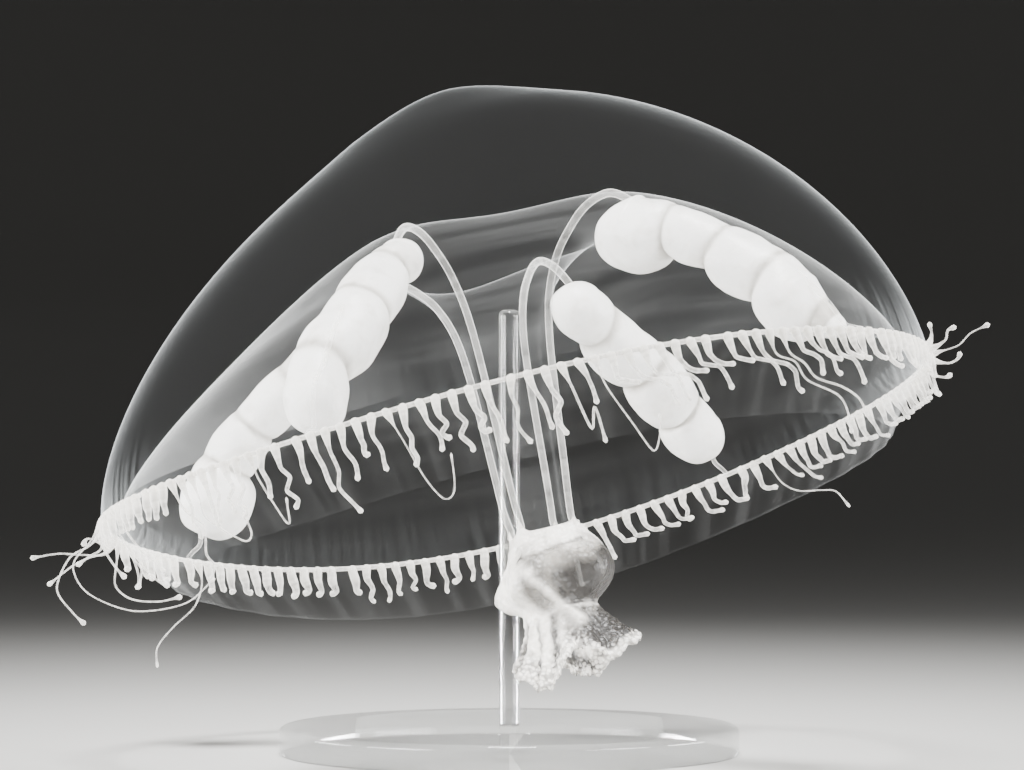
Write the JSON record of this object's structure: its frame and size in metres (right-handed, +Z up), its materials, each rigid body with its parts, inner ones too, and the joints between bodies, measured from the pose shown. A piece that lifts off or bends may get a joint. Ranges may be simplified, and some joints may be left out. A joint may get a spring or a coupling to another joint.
{
  "type": "jellyfish",
  "caption": "Small clear hydromedusa: domed bell, stalk with stomach and frilled lips, white lobed gonads along the canals, fringe of short tentacles, banked as if swimming on a rod stand.",
  "frame": {"origin": "middle of the stand's underside, under the rod's axis", "axes": "+Z up; -Y is the animal's front, the edge nearest the viewer, which banks up; +X is its right in that view, the side that banks up"},
  "size_m": [0.0406, 0.0364, 0.0288],
  "materials": {
    "jelly": "clear wet jelly with a thin milky skin",
    "film": "thin clear membrane",
    "canal": "translucent tube with whitish walls",
    "gonad": "milky, finely granular, wet",
    "tissue": "cream, granular, partly translucent, wet",
    "feeler": "whitish, translucent towards the tips, wet",
    "acrylic": "polished clear acrylic"
  },
  "bodies": {
    "root": {"bell": "jelly", "canal_back_left": "canal", "canal_back_right": "canal", "canal_front_left": "canal", "canal_front_right": "canal", "gonad_back_left": "gonad", "gonad_back_right": "gonad", "gonad_front_left": "gonad", "gonad_front_right": "gonad", "lip_back_left": "tissue", "lip_back_right": "tissue", "lip_front_left": "tissue", "lip_front_right": "tissue", "margin_01": "feeler", "margin_02": "feeler", "margin_03": "feeler", "margin_04": "feeler", "margin_05": "feeler", "margin_06": "feeler", "margin_07": "feeler", "margin_08": "feeler", "margin_09": "feeler", "margin_10": "feeler", "margin_11": "feeler", "margin_12": "feeler", "stalk": "jelly", "stand_base": "acrylic", "stand_rod": "acrylic", "stomach": "tissue", "velum": "film"}
  },
  "joints": []
}
